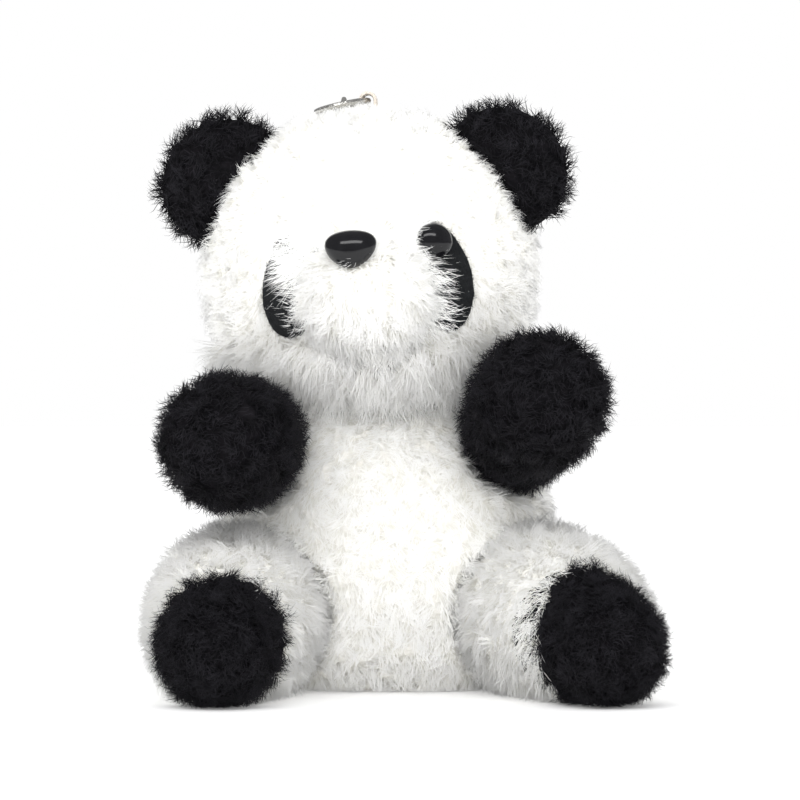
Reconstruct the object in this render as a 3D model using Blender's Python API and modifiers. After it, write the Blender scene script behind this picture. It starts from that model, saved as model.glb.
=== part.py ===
"""A seated plush panda on a keychain, in metres, +Z up, facing -Y.

The origin is on the flat underside of the body, where the toy sits. Every sewn
part is a pile-fabric skin round its own fibre stuffing. The limbs and the head
flex at their seams, and the metal hangs from a ribbon loop on the crown: a jump
ring, three chain links, a split key ring and a swivel snap hook.
"""

import math

import bmesh
import bpy
from mathutils import Euler, Matrix, Vector

MM = 0.001

# Fabric, and the gap kept between pieces that touch
SKIN = 2.4 * MM
GAP = 0.3 * MM
LINING = SKIN + GAP

# Head, a ball that is fuller in its lower half
HEAD_CENTRE = Vector((-3.1, 0.0, 79.7)) * MM
HEAD_SIZE = Vector((30.0, 27.0, 25.8)) * MM
HEAD_LOWER_DEPTH = 28.6 * MM
HEAD_TURN = math.radians(-3.0)
HEAD_TILT = math.radians(-2.3)

# Body: its upper half is round about the X axis through the neck's pivot
NECK_PIVOT = Vector((0.0, 0.0, 30.0)) * MM
BODY_SIZE = Vector((29.5, 24.0, 24.0)) * MM
BODY_LOWER_DEPTH = 32.0 * MM
SEAM_OPENING = Vector((0.8, 9.0, 13.0)) * MM
FLOOR_BLOCK = Vector((200.0, 200.0, 20.0)) * MM
HEAD_FULLNESS = 0.8
BODY_FULLNESS = 1.5

# Muzzle and nose, from the centre of the head
MUZZLE_CENTRE = Vector((0.7, -23.5, -8.6)) * MM
MUZZLE_SIZE = Vector((12.0, 13.5, 11.2)) * MM
NOSE_PLACE = Vector((-1.0, -34.0, -0.8)) * MM
NOSE_LEAN = math.radians(18.0)
NOSE_ASIDE = -0.10
NOSE_WIDTH = 9.0 * MM
NOSE_HEIGHT = 7.4 * MM
NOSE_DEPTH = 2.9 * MM
NOSE_SEAT = 1.15 * MM

# Eyes on their felt patches, from the centre of the head
EYE_OFFSET = Vector((12.4, 0.0, 0.3)) * MM
EYE_RADIUS = 3.4 * MM
EYE_DOME = 2.5 * MM
EYE_RIM = 0.5 * MM
PATCH_OFFSET = Vector((13.5, 0.0, -5.6)) * MM
PATCH_WIDTH = 11.4 * MM
PATCH_HEIGHT = 19.5 * MM
PATCH_LEAN = math.radians(8.0)
FELT = 1.0 * MM

# Shanks and lock washers of the eyes and the nose
SHANK_RADIUS = 1.1 * MM
SHANK_LENGTH = 6.2 * MM
EYE_WASHER_RADIUS = 3.2 * MM
NOSE_WASHER_RADIUS = 1.8 * MM
WASHER_THICKNESS = 0.9 * MM
WASHER_DEPTH = SKIN + 2.5 * GAP + WASHER_THICKNESS
NOSE_WASHER_DEPTH = 6.05 * MM

# Ears, from the centre of the head
EAR_OFFSET = Vector((25.4, -5.5, 13.6)) * MM
EAR_SIZE = Vector((12.2, 4.8, 11.4)) * MM
EAR_LEAN = math.radians(38.0)

# Arms: where each is sewn on, and the middle of its rounded end
ARM_ROOT_RADIUS = 9.0 * MM
ARM_TIP_RADIUS = 11.2 * MM
ARM_TIP_DEPTH = 10.4 * MM
ARM_PLACES = {
    "left": (Vector((-23.8, -8.5, 45.0)) * MM, Vector((-27.8, -33.0, 45.3)) * MM),
    "right": (Vector((22.4, -8.5, 44.8)) * MM, Vector((27.5, -29.5, 53.0)) * MM),
}
ARM_SEAM_OPENING = 4.0 * MM
ARM_SWING = math.radians(18.0)

# Legs: the hip, and the middle of the foot
LEG_ROOT_RADIUS = 13.4 * MM
LEG_TIP_RADIUS = 9.5 * MM
LEG_TIP_DEPTH = 9.0 * MM
LEG_BULGE = 2.8 * MM
LEG_SEAM_OPENING = 5.0 * MM
ANKLE = 0.88
LEG_PLACES = {
    "left": (Vector((-25.5, -9.5, 15.5)) * MM, Vector((-29.0, -46.0, 9.9)) * MM),
    "right": (Vector((25.0, -9.5, 15.5)) * MM, Vector((38.4, -44.2, 9.9)) * MM),
}
LEG_SWING = math.radians(10.0)
SWING_SIDES = 12
SWING_GAP = 0.8 * MM

# Ribbon loop on the crown and the chain, from the centre of the head
LOOP_X = 0.8 * MM
LOOP_Y = 3.0 * MM
RIBBON = 0.7 * MM
RIBBON_WIDTH = 4.0 * MM
FOLD_RADIUS = 1.0 * MM
FOLD_HEIGHT = 2.3 * MM
JUMP_RING_RADIUS = 4.9 * MM
JUMP_RING_WIRE = 0.55 * MM
JUMP_RING_DROOP = math.radians(10.0)
LINK_PITCH = 4.6 * MM
LINK_WIRE = 0.5 * MM
LINK_HALF_WIDTH = 1.9 * MM
LINK_LIFT = 3.0 * MM
LINK_HOOK = 2 * LINK_WIRE + 0.15 * MM

# Split key ring and swivel snap hook; heights are below the key ring's middle line
KEY_RING_RADIUS = 9.4 * MM
KEY_RING_WIRE = 0.45 * MM
KEY_RING_SPACING = 1.0 * MM
KEY_RING_TURNS = 1.9
KEY_RING_STEPS = 54
KEY_RING_HOOK = LINK_WIRE + KEY_RING_WIRE + 0.15 * MM
SWIVEL_LIFT = 7.6 * MM
EYE_RING_RADIUS = 2.4 * MM
EYE_RING_WIRE = 0.6 * MM
EYE_RING_TOP = 1.75 * MM
STEM_RADIUS = 0.75 * MM
STEM_HEAD_RADIUS = 1.4 * MM
STEM_HEAD = 1.0 * MM
STEM_END = 7.3 * MM
COLLAR_RADIUS = 2.4 * MM
COLLAR_TOP = 4.1 * MM
COLLAR_END = 8.6 * MM
HOOK_WIRE = 1.0 * MM
HOOK_MIDDLE = 15.2 * MM
HOOK_HALF_WIDTH = 4.2 * MM
HOOK_HALF_HEIGHT = 5.6 * MM
HOOK_START = 115.0
HOOK_FINISH = 363.0
HOOK_STEPS = 20
LEVER_PIVOT = Vector((2.4, 0.0, -9.9)) * MM
LEVER_THICKNESS = 0.8 * MM
LEVER_SIDE = -0.35 * MM
LEVER_EYE = 1.05 * MM
LEVER_STRIP = [
    (-0.75, -3.2),
    (-0.65, -6.0),
    (0.25, -6.3),
    (0.75, -3.6),
    (2.1, -2.9),
    (2.3, -2.2),
    (1.1, -1.4),
]
PIN_RADIUS = 0.45 * MM
PIN_PROUD = 0.2 * MM
LUG = Vector((2.4, 0.7, 3.2)) * MM
LUG_SPREAD = 1.3 * MM
LUG_FROM_PIVOT = Vector((-0.1, 0.0, 0.3)) * MM
SPRING_WIRE = 0.09 * MM
SPRING_RADIUS = 0.78 * MM
SPRING_TURNS = 2
SPRING_START = 0.27 * MM
SPRING_LENGTH = 0.42 * MM
SPRING_STEPS = 24

WHITE_PILE = (0.93, 0.92, 0.90)
BLACK_PILE = (0.022, 0.020, 0.026)
FIBRE = (0.88, 0.88, 0.86)
BLACK_PLASTIC = (0.008, 0.008, 0.010)
WASHER_PLASTIC = (0.75, 0.76, 0.78)
FELT_BLACK = (0.020, 0.022, 0.024)
RIBBON_CREAM = (0.86, 0.82, 0.76)
NICKEL = (0.72, 0.72, 0.70)


# ---------------------------------------------------------------- scene helpers

for leftover in list(bpy.data.objects):
    bpy.data.objects.remove(leftover, do_unlink=True)

parts = bpy.data.collections.new("panda_keychain")
cutters = bpy.data.collections.new("cutters")
bpy.context.scene.collection.children.link(parts)
bpy.context.scene.collection.children.link(cutters)


def material(name, colour, roughness, metallic=0.0):
    """A plain Principled material."""
    made = bpy.data.materials.new(name)
    made.use_nodes = True
    shader = made.node_tree.nodes["Principled BSDF"]
    shader.inputs["Base Color"].default_value = (*colour, 1.0)
    shader.inputs["Roughness"].default_value = roughness
    shader.inputs["Metallic"].default_value = metallic
    return made


white_pile = material("white_pile", WHITE_PILE, 0.95)
black_pile = material("black_pile", BLACK_PILE, 0.95)
fibre = material("fibre_stuffing", FIBRE, 1.0)
black_plastic = material("black_plastic", BLACK_PLASTIC, 0.12)
washer_plastic = material("washer_plastic", WASHER_PLASTIC, 0.5)
felt = material("black_felt", FELT_BLACK, 0.9)
ribbon = material("ribbon", RIBBON_CREAM, 0.6)
nickel = material("nickel_plate", NICKEL, 0.22, 1.0)


def place(thing, parent=None, location=(0, 0, 0), rotation=(0, 0, 0)):
    """Put an object under its parent, at a location and an Euler or Matrix rotation."""
    if isinstance(rotation, Matrix):
        rotation = rotation.to_euler()
    thing.parent = parent
    thing.location = location
    thing.rotation_euler = Euler(rotation)
    return thing


def empty(name, location, parent=None, rotation=(0, 0, 0)):
    """A joint's pivot or a frame to place parts in."""
    made = bpy.data.objects.new(name, None)
    made.empty_display_size = 5 * MM
    parts.objects.link(made)
    return place(made, parent, location, rotation)


def mesh_object(name, build, finish=None):
    """A new object whose mesh is filled in by build(bm). Without a finish it is a cutter."""
    mesh = bpy.data.meshes.new(name)
    bm = bmesh.new()
    build(bm)
    bmesh.ops.triangulate(bm, faces=bm.faces, quad_method="FIXED", ngon_method="EAR_CLIP")
    bm.to_mesh(mesh)
    bm.free()
    made = bpy.data.objects.new(name, mesh)
    if finish is None:
        cutters.objects.link(made)
        made.hide_render = True
        made.display_type = "WIRE"
    else:
        parts.objects.link(made)
        mesh.materials.append(finish)
        mesh.shade_smooth()
        mesh.set_sharp_from_angle(angle=math.radians(40))
    return made


def boolean(thing, operation, *others):
    """Cut, join or intersect an object with each of the others."""
    for other in others:
        step = thing.modifiers.new(f"{operation.lower()}_{other.name}", "BOOLEAN")
        step.operation = operation
        step.solver = "EXACT"
        step.object = other


def aim(direction, side=Vector((1, 0, 0))):
    """A rotation that takes +Z to direction and keeps +X as near to side as it can."""
    up = Vector(direction).normalized()
    across = (side - up * side.dot(up)).normalized()
    return Matrix((across, up.cross(across), up)).transposed()


# ---------------------------------------------------------------- shape helpers


def soft_ball(name, size, lower_depth, fullness, finish=None, segments=28, inset=0.0):
    """A stuffed ball. Below its middle it has its own depth, and a fuller outline."""
    across = Vector((size.x - inset, size.y - inset, size.z - inset))
    lower = lower_depth - inset

    def build(bm):
        bmesh.ops.create_uvsphere(bm, u_segments=segments, v_segments=segments // 2, radius=1.0)
        for vert in bm.verts:
            power = 2.0 + fullness * max(0.0, -vert.co.z) ** 0.5
            reach = sum(abs(c) ** power for c in vert.co) ** (1.0 / power)
            vert.co /= reach
            depth = across.z if vert.co.z > 0 else lower
            vert.co = Vector((vert.co.x * across.x, vert.co.y * across.y, vert.co.z * depth))

    return mesh_object(name, build, finish)


def turned(name, outline, finish=None, steps=18):
    """A shape turned about Z from (radius, height) points that run down its outer side."""

    def build(bm):
        verts = [bm.verts.new((radius, 0.0, height)) for radius, height in outline]
        for above, below in zip(verts, verts[1:]):
            bm.edges.new((above, below))
        if outline[0][0] > 0:
            bm.edges.new((verts[-1], verts[0]))

    made = mesh_object(name, build, finish)
    screw = made.modifiers.new("turn", "SCREW")
    screw.axis = "Z"
    screw.steps = steps
    screw.render_steps = steps
    screw.use_merge_vertices = True
    screw.merge_threshold = 0.00001
    screw.use_smooth_shade = True
    flat = made.modifiers.new("triangles", "TRIANGULATE")
    flat.quad_method = "FIXED"
    return made


def box(name, size, finish=None):
    """A box centred on its origin."""

    def build(bm):
        bmesh.ops.create_cube(bm, size=1.0)
        bmesh.ops.scale(bm, vec=size, verts=bm.verts)

    return mesh_object(name, build, finish)


def cylinder(name, radius, length, finish=None, segments=20):
    """A cylinder along Z, centred on its origin."""

    def build(bm):
        bmesh.ops.create_cone(
            bm, cap_ends=True, segments=segments, radius1=radius, radius2=radius, depth=length
        )

    return mesh_object(name, build, finish)


def wire(name, points, thickness, finish=None, closed=False, resolution=2):
    """A round wire through the points, as a closed mesh."""
    curve = bpy.data.curves.new(name, "CURVE")
    curve.dimensions = "3D"
    curve.bevel_depth = thickness
    curve.bevel_resolution = resolution
    curve.use_fill_caps = True
    spline = curve.splines.new("POLY")
    spline.points.add(len(points) - 1)
    for point, at in zip(spline.points, points):
        point.co = (*at, 1.0)
    spline.use_cyclic_u = closed
    drawn = bpy.data.objects.new(name, curve)
    parts.objects.link(drawn)
    seen = drawn.evaluated_get(bpy.context.evaluated_depsgraph_get())
    mesh = bpy.data.meshes.new_from_object(seen)
    bpy.data.objects.remove(drawn, do_unlink=True)
    bpy.data.curves.remove(curve)

    def build(bm):
        bm.from_mesh(mesh)
        bmesh.ops.remove_doubles(bm, verts=bm.verts, dist=0.000005)

    made = mesh_object(name, build, finish)
    bpy.data.meshes.remove(mesh)
    return made


def arc(centre, radius, start, end, count):
    """Points in the XZ plane on an arc from one angle to another, in degrees."""
    turns = [math.radians(start + (end - start) * k / (count - 1)) for k in range(count)]
    return [
        Vector((centre[0] + radius * math.cos(a), 0.0, centre[1] + radius * math.sin(a)))
        for a in turns
    ]


# ---------------------------------------------------------------- body and head skins

torso = empty("torso", (0, 0, 0))
neck = empty("neck_joint", NECK_PIVOT)
head = empty("head_frame", HEAD_CENTRE - NECK_PIVOT, neck, (0.0, HEAD_TILT, HEAD_TURN))


def floor_block(name, level):
    """A cutter that takes away all below a level."""
    return place(box(name, FLOOR_BLOCK), torso, (0, 0, level - FLOOR_BLOCK.z / 2))


floor_cut = floor_block("floor_cut", 0.0)


def body_ball(name, inset, finish=None, segments=28):
    """The body's outline, drawn in or let out by an inset."""
    made = soft_ball(name, BODY_SIZE, BODY_LOWER_DEPTH, BODY_FULLNESS, finish, segments, inset)
    return place(made, torso, NECK_PIVOT)


def head_ball(name, inset, finish=None, segments=28):
    """The head's outline, drawn in or let out by an inset."""
    made = soft_ball(name, HEAD_SIZE, HEAD_LOWER_DEPTH, HEAD_FULLNESS, finish, segments, inset)
    return place(made, head)


def neck_ball(name, inset):
    """The body's shoulders, which the underside of the head is hollowed to clear."""
    made = soft_ball(name, BODY_SIZE, BODY_SIZE.z, 0.0, None, 28, inset)
    return place(made, neck)


body_skin = body_ball("body_skin", 0.0, white_pile)
body_stuffing = body_ball("body_stuffing", LINING, fibre, 20)
body_hollow = body_ball("body_hollow", SKIN, None, 20)
boolean(body_hollow, "DIFFERENCE", floor_block("hollow_floor", SKIN))
boolean(body_stuffing, "DIFFERENCE", floor_block("stuffing_floor", LINING))
boolean(body_skin, "DIFFERENCE", floor_cut, body_hollow)
closing_seam = place(box("closing_seam", SEAM_OPENING), torso, (0, BODY_SIZE.y, NECK_PIVOT.z - MM))
boolean(body_skin, "DIFFERENCE", closing_seam)

head_skin = head_ball("head_skin", 0.0, white_pile)
head_stuffing = head_ball("head_stuffing", LINING, fibre, 20)
head_hollow = head_ball("head_hollow", SKIN, None, 20)
neck_hollow = neck_ball("neck_hollow", -1.3 * GAP)
boolean(head_skin, "DIFFERENCE", head_hollow, neck_hollow)
boolean(head_stuffing, "DIFFERENCE", neck_hollow)


# ---------------------------------------------------------------- muzzle


def muzzle_ball(name, inset, finish=None, segments=22):
    """The muzzle's outline, drawn in or let out by an inset."""
    made = soft_ball(name, MUZZLE_SIZE, MUZZLE_SIZE.z, 0.0, finish, segments, inset)
    return place(made, head, MUZZLE_CENTRE)


muzzle_skin = muzzle_ball("muzzle_skin", 0.0, white_pile)
muzzle_stuffing = muzzle_ball("muzzle_stuffing", LINING, fibre, 16)
muzzle_hollow = muzzle_ball("muzzle_hollow", SKIN, None, 16)
muzzle_seat = head_ball("muzzle_seat", -GAP)
boolean(muzzle_skin, "DIFFERENCE", muzzle_hollow, muzzle_seat)
boolean(muzzle_stuffing, "DIFFERENCE", muzzle_seat)
muzzle_clearance = muzzle_ball("muzzle_clearance", -GAP)


# ---------------------------------------------------------------- eyes, patches and nose


def shanked(name, outline, finish):
    """A turned button that looks along +Z, with a shank behind it."""
    shank = [
        (SHANK_RADIUS, outline[-1][1]),
        (SHANK_RADIUS, -SHANK_LENGTH),
        (0.0, -SHANK_LENGTH),
    ]
    return turned(name, outline + shank, finish)


def dome(radius, height, base):
    """A dome's outline from its top to its rim, a base height above zero."""
    turns = [math.radians(15 * k) for k in range(7)]
    return [(radius * math.sin(a), base + height * math.cos(a)) for a in turns]


def washer(name, radius, place_at, facing, depth):
    """A lock washer on a shank, behind the skin."""
    half = WASHER_THICKNESS / 2
    hole = SHANK_RADIUS + 0.5 * GAP
    made = turned(
        name,
        [(hole, half), (radius, half), (radius, -half), (hole, -half)],
        washer_plastic,
    )
    centre = place_at - facing @ Vector((0, 0, depth))
    return place(made, head, centre, facing)


def shank_cuts(name, radius, place_at, facing, washer_depth):
    """A hole for the shank, and a pocket for the washer and the shank's end."""
    hole = cylinder(f"{name}_hole", SHANK_RADIUS + GAP, 4 * SHANK_LENGTH, None, 14)
    place(hole, head, place_at, facing)
    top = SHANK_LENGTH
    bottom = -washer_depth - WASHER_THICKNESS / 2 - GAP
    end = -SHANK_LENGTH - GAP
    outline = [
        (0.0, top),
        (radius + GAP, top),
        (radius + GAP, bottom),
        (SHANK_RADIUS + GAP, bottom),
        (SHANK_RADIUS + GAP, end),
        (0.0, end),
    ]
    pocket = place(turned(f"{name}_pocket", outline, None, 16), head, place_at, facing)
    return hole, pocket


def on_head(x, z):
    """A point on the front of the head, and the way the head faces there."""
    depth = HEAD_SIZE.z if z > 0 else HEAD_LOWER_DEPTH
    y = -HEAD_SIZE.y * math.sqrt(1.0 - (x / HEAD_SIZE.x) ** 2 - (z / depth) ** 2)
    normal = Vector((x / HEAD_SIZE.x**2, y / HEAD_SIZE.y**2, z / depth**2)).normalized()
    return Vector((x, y, z)), normal


patch_inside = head_ball("patch_inside", -GAP)

for side, sign in (("left", -1), ("right", 1)):
    eye_at, eye_out = on_head(sign * EYE_OFFSET.x, EYE_OFFSET.z)
    facing = aim(eye_out)

    patch_at, patch_out = on_head(sign * PATCH_OFFSET.x, PATCH_OFFSET.z)
    patch = head_ball(f"eye_patch_{side}", -GAP - FELT, felt, 44)
    outline = cylinder(f"patch_outline_{side}", 0.5, 20 * MM, None, 28)
    outline.scale = (PATCH_WIDTH, PATCH_HEIGHT, 1.0)
    lean = Matrix.Rotation(sign * PATCH_LEAN, 3, "Z")
    place(outline, head, patch_at, aim(patch_out) @ lean)
    eye_hole, eye_pocket = shank_cuts(
        f"eye_{side}", EYE_WASHER_RADIUS, eye_at, facing, WASHER_DEPTH
    )
    boolean(patch, "INTERSECT", outline)
    boolean(patch, "DIFFERENCE", patch_inside, muzzle_clearance, eye_hole)
    boolean(head_skin, "DIFFERENCE", eye_hole)
    boolean(head_stuffing, "DIFFERENCE", eye_pocket)

    seat = 3 * GAP + FELT
    eye_outline = dome(EYE_RADIUS, EYE_DOME, seat + EYE_RIM) + [(EYE_RADIUS, seat)]
    place(shanked(f"eye_{side}", eye_outline, black_plastic), head, eye_at, facing)
    washer(f"eye_washer_{side}", EYE_WASHER_RADIUS, eye_at, facing, WASHER_DEPTH)

nose_facing = aim(Vector((NOSE_ASIDE, -math.cos(NOSE_LEAN), math.sin(NOSE_LEAN))))
nose_hole, nose_pocket = shank_cuts(
    "nose", NOSE_WASHER_RADIUS, NOSE_PLACE, nose_facing, NOSE_WASHER_DEPTH
)
boolean(muzzle_skin, "DIFFERENCE", nose_hole)
boolean(muzzle_stuffing, "DIFFERENCE", nose_pocket)
washer("nose_washer", NOSE_WASHER_RADIUS, NOSE_PLACE, nose_facing, NOSE_WASHER_DEPTH)


def nose_dome(bm):
    """A rounded triangle, broad at the top and domed towards +Z."""
    bmesh.ops.create_uvsphere(bm, u_segments=20, v_segments=10, radius=1.0)
    for vert in bm.verts:
        taper = 1.0 + 0.22 * vert.co.y
        flat_top = 1.0 - 0.14 * max(0.0, vert.co.y)
        base = 1.0 if vert.co.z > 0 else 0.25
        vert.co.x *= taper * NOSE_WIDTH / 2
        vert.co.y *= flat_top * NOSE_HEIGHT / 2
        vert.co.z = vert.co.z * base * NOSE_DEPTH + NOSE_SEAT


nose = place(mesh_object("nose", nose_dome, black_plastic), head, NOSE_PLACE, nose_facing)
nose_shank = cylinder("nose_shank", SHANK_RADIUS, SHANK_LENGTH + NOSE_SEAT, None, 14)
shank_middle = NOSE_PLACE + nose_facing @ Vector((0, 0, (NOSE_SEAT - SHANK_LENGTH) / 2))
place(nose_shank, head, shank_middle, nose_facing)
boolean(nose, "UNION", nose_shank)


# ---------------------------------------------------------------- ears

ear_seat = head_ball("ear_seat", -GAP)
for side, sign in (("left", -1), ("right", 1)):
    ear = soft_ball(f"ear_{side}", EAR_SIZE, EAR_SIZE.z, 0.0, black_pile, 22)
    offset = Vector((sign * EAR_OFFSET.x, EAR_OFFSET.y, EAR_OFFSET.z))
    place(ear, head, offset, (0.0, sign * EAR_LEAN, 0.0))
    boolean(ear, "DIFFERENCE", ear_seat)


# ---------------------------------------------------------------- limbs


def limb_outline(root, tip, tip_depth, length, bulge, inset, opening=0.0):
    """(radius, height) from a limb's end, over its belly, to its round root at z = 0."""
    points = []
    for k in range(5):
        a = math.radians(22.5 * k)
        points.append(((tip - inset) * math.sin(a), length + (tip_depth - inset) * math.cos(a)))
    for k in range(1, 4):
        along = k / 4
        blend = (1 - math.cos(math.pi * along)) / 2
        swell = bulge * math.sin(math.pi * along)
        points.append((tip + (root - tip) * blend + swell - inset, length * (1 - along)))
    last = math.acos(opening / (root - inset)) if opening else math.pi / 2
    for k in range(5):
        a = last * k / 4
        points.append(((root - inset) * math.cos(a), -(root - inset) * math.sin(a)))
    if not opening:
        points[-1] = (0.0, inset - root)
    return points


def split_above(points, height):
    """The part of an outline above a height, ending on it."""
    kept = [p for p in points if p[1] > height]
    below = points[len(kept)]
    share = (kept[-1][1] - height) / (kept[-1][1] - below[1])
    return kept + [(kept[-1][0] + share * (below[0] - kept[-1][0]), height)]


def split_below(points, height):
    """The part of an outline below a height, starting on it."""
    above = split_above(points, height)
    return [above[-1]] + points[len(above) - 1 :]


def swing_room(name, outline, facing, axis, swing):
    """A cutter that holds a limb's outline at every angle of its swing."""

    def build(bm):
        for angle in (-swing, 0.0, swing):
            turn = Matrix.Rotation(angle, 3, axis) @ facing
            for radius, height in outline:
                for k in range(SWING_SIDES if radius > 0 else 1):
                    a = 2 * math.pi * k / SWING_SIDES
                    at = Vector((radius * math.cos(a), radius * math.sin(a), height))
                    bm.verts.new(turn @ at)
        hull = bmesh.ops.convex_hull(bm, input=bm.verts)
        inside = set(hull["geom_interior"]) | set(hull["geom_unused"])
        bmesh.ops.delete(bm, geom=list(inside), context="VERTS")

    return mesh_object(name, build)


for side, (pivot, tip) in ARM_PLACES.items():
    length = (tip - pivot).length
    shape = (ARM_ROOT_RADIUS, ARM_TIP_RADIUS, ARM_TIP_DEPTH, length, 0.0)
    joint = empty(f"shoulder_{side}", pivot)
    facing = aim(tip - pivot)
    outer = limb_outline(*shape, 0.0, ARM_SEAM_OPENING)
    inner = limb_outline(*shape, SKIN, ARM_SEAM_OPENING)
    place(turned(f"arm_skin_{side}", outer + inner[::-1], black_pile), joint, rotation=facing)
    stuffed = limb_outline(*shape, LINING)
    place(turned(f"arm_stuffing_{side}", stuffed, fibre, 16), joint, rotation=facing)
    room = limb_outline(*shape, -SWING_GAP)
    arm_room = place(swing_room(f"arm_room_{side}", room, facing, "X", ARM_SWING), torso, pivot)
    boolean(body_skin, "DIFFERENCE", arm_room)
    boolean(body_stuffing, "DIFFERENCE", arm_room)

for side, (pivot, tip) in LEG_PLACES.items():
    length = (tip - pivot).length
    shape = (LEG_ROOT_RADIUS, LEG_TIP_RADIUS, LEG_TIP_DEPTH, length, LEG_BULGE)
    joint = empty(f"hip_{side}", pivot)
    facing = aim(tip - pivot)
    outer = limb_outline(*shape, 0.0, LEG_SEAM_OPENING)
    inner = limb_outline(*shape, SKIN, LEG_SEAM_OPENING)
    seam = length * ANKLE
    leg_shape = split_below(outer, seam - GAP / 2) + split_below(inner, seam - GAP / 2)[::-1]
    foot_shape = split_above(outer, seam + GAP / 2) + split_above(inner, seam + GAP / 2)[::-1]
    leg = place(turned(f"leg_skin_{side}", leg_shape, white_pile), joint, rotation=facing)
    foot = place(turned(f"foot_skin_{side}", foot_shape, black_pile), joint, rotation=facing)
    boolean(leg, "DIFFERENCE", floor_cut)
    boolean(foot, "DIFFERENCE", floor_cut)
    stuffed = limb_outline(*shape, LINING)
    place(turned(f"leg_stuffing_{side}", stuffed, fibre, 16), joint, rotation=facing)
    room = limb_outline(*shape, -SWING_GAP)
    leg_room = place(swing_room(f"leg_room_{side}", room, facing, "Z", LEG_SWING), torso, pivot)
    boolean(body_skin, "DIFFERENCE", leg_room)
    boolean(body_stuffing, "DIFFERENCE", leg_room)


# ---------------------------------------------------------------- hang loop and chain


def crown_height(x, y):
    """How high the top of the head is above its centre, over a point."""
    return HEAD_SIZE.z * math.sqrt(1.0 - (x / HEAD_SIZE.x) ** 2 - (y / HEAD_SIZE.y) ** 2)


fold = Vector((LOOP_X, LOOP_Y, crown_height(LOOP_X, LOOP_Y) + FOLD_HEIGHT))


def ribbon_fold(bm):
    """A ribbon folded over the jump ring: two legs and a half-round fold, extruded along Y."""
    outer_radius = FOLD_RADIUS + RIBBON
    foot_level = -FOLD_HEIGHT + 1.4 * GAP
    outside = [Vector((outer_radius, 0, foot_level))]
    outside += arc((0, 0), outer_radius, 0, 180, 9)
    outside += [Vector((-outer_radius, 0, foot_level))]
    inside = [Vector((-FOLD_RADIUS, 0, foot_level))]
    inside += arc((0, 0), FOLD_RADIUS, 180, 0, 9)
    inside += [Vector((FOLD_RADIUS, 0, foot_level))]
    verts = [bm.verts.new(p + Vector((0, -RIBBON_WIDTH / 2, 0))) for p in outside + inside]
    face = bm.faces.new(verts)
    grown = bmesh.ops.extrude_face_region(bm, geom=[face])
    moved = [v for v in grown["geom"] if isinstance(v, bmesh.types.BMVert)]
    bmesh.ops.translate(bm, vec=(0, RIBBON_WIDTH, 0), verts=moved)
    bmesh.ops.recalc_face_normals(bm, faces=bm.faces)


place(mesh_object("hang_loop", ribbon_fold, ribbon), head, fold)


def link_points(pitch, hook):
    """A link's middle line in the XZ plane: from a hook above the origin to a pitch below."""
    r = LINK_HALF_WIDTH
    return arc((0, hook - r), r, 0, 180, 9) + arc((0, r - pitch), r, 180, 360, 9)


def behind(x, angle, lift):
    """A point round the back of the head, by its angle from the crown, and the way it faces."""
    narrowing = math.sqrt(1.0 - (x / HEAD_SIZE.x) ** 2)
    depth = HEAD_SIZE.z if math.cos(angle) > 0 else HEAD_LOWER_DEPTH
    y = HEAD_SIZE.y * narrowing * math.sin(angle)
    z = depth * narrowing * math.cos(angle)
    normal = Vector((0.0, y / HEAD_SIZE.y**2, z / depth**2)).normalized()
    return Vector((x, y, z)) + normal * lift, normal


def next_along(start, reach, lift):
    """The point round the back of the head, at a lift, that is a reach away from start."""
    low, high = math.radians(5), math.radians(125)
    for _ in range(40):
        middle = (low + high) / 2
        if (behind(start.x, middle, lift)[0] - start).length < reach:
            low = middle
        else:
            high = middle
    return behind(start.x, low, lift)


def hang(thing, joint, start, onward, side):
    """Place a hanging piece, whose -Z runs onward and whose +X lies along side."""
    return place(thing, joint, rotation=aim(start - onward, side))


SIDEWAYS = Vector((1, 0, 0))

# The jump ring lies flat to one side of its loop, and the chain leaves its rearmost point.
droop = Vector((-math.cos(JUMP_RING_DROOP), 0.0, -math.sin(JUMP_RING_DROOP)))
ring_joint = empty("jump_ring_joint", fold, head)
ring_line = arc((0, -JUMP_RING_RADIUS), JUMP_RING_RADIUS, 0, 347, 28)
jump_ring = wire("jump_ring", ring_line, JUMP_RING_WIRE, nickel, True)
place(jump_ring, ring_joint, rotation=aim(-droop, Vector((0, 1, 0))))

at = fold + droop * JUMP_RING_RADIUS + Vector((0, JUMP_RING_RADIUS, 0))
for number in range(1, 4):
    onward, facing_out = next_along(at, LINK_PITCH, LINK_LIFT)
    joint = empty(f"chain_link_{number}_joint", at, head)
    link = wire(f"chain_link_{number}", link_points(LINK_PITCH, LINK_HOOK), LINK_WIRE, nickel, True)
    edge_on = number % 2 == 1
    hang(link, joint, at, onward, facing_out if edge_on else SIDEWAYS)
    at = onward

# Split key ring: a wire wound nearly twice round
key_reach = 2 * KEY_RING_RADIUS - KEY_RING_HOOK
onward, facing_out = next_along(at, key_reach, SWIVEL_LIFT)
key_joint = empty("key_ring_joint", at, head)
key_line = []
for k in range(KEY_RING_STEPS + 1):
    share = k / KEY_RING_STEPS
    a = math.radians(100) + 2 * math.pi * KEY_RING_TURNS * share
    sideways = KEY_RING_SPACING * KEY_RING_TURNS * (share - 0.5)
    height = KEY_RING_RADIUS * (math.sin(a) - 1) + KEY_RING_HOOK
    key_line.append(Vector((KEY_RING_RADIUS * math.cos(a), sideways, height)))
hang(wire("key_ring", key_line, KEY_RING_WIRE, nickel), key_joint, at, onward, SIDEWAYS)

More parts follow.
